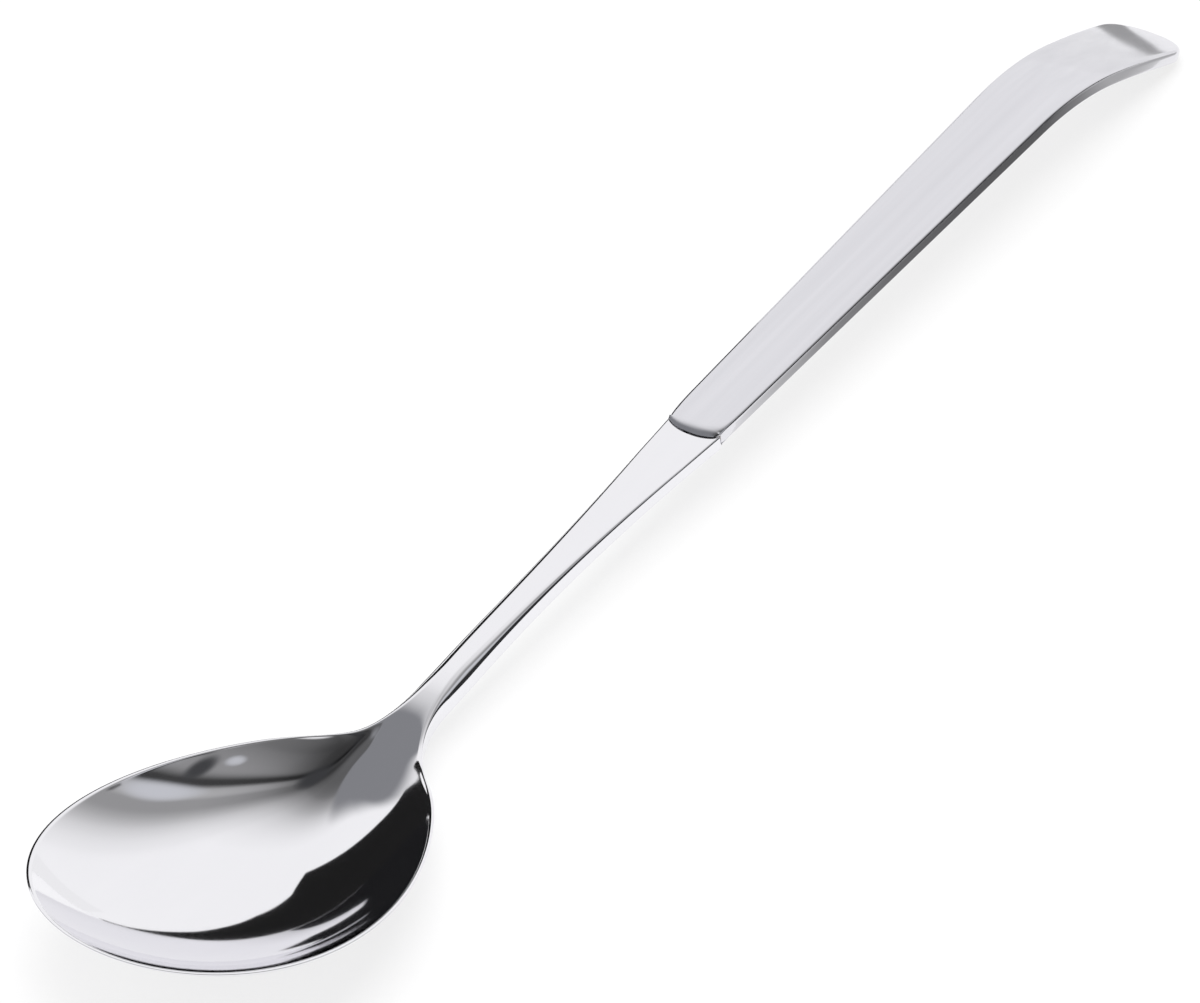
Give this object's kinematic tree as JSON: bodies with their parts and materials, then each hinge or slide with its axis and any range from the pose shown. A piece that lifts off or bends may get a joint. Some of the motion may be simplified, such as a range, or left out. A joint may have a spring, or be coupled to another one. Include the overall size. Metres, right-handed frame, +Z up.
{
  "type": "serving spoon",
  "caption": "Long serving spoon with an egg-shaped polished bowl, a thin flared neck and a satin hollow handle whose end turns down to the table.",
  "frame": {"origin": "on the table, below the middle of the spoon's length, with the spoon lying as in the picture", "axes": "+X along the spoon from the bowl to the end of the handle, +Z up"},
  "size_m": [0.3557, 0.0628, 0.023],
  "materials": {
    "polished_steel": "mirror polished stainless steel",
    "satin_steel": "satin brushed lengthwise",
    "back_steel": "satin brushed lengthwise",
    "seam_metal": "ground braze",
    "mouth_metal": "ground braze",
    "cement": "matt cement"
  },
  "bodies": {
    "root": {"bowl_neck_tang": "polished_steel", "handle_channel": "satin_steel", "handle_back_strip": "back_steel", "seam_braze": "seam_metal", "mouth_braze": "mouth_metal", "handle_filling": "cement"}
  },
  "joints": []
}
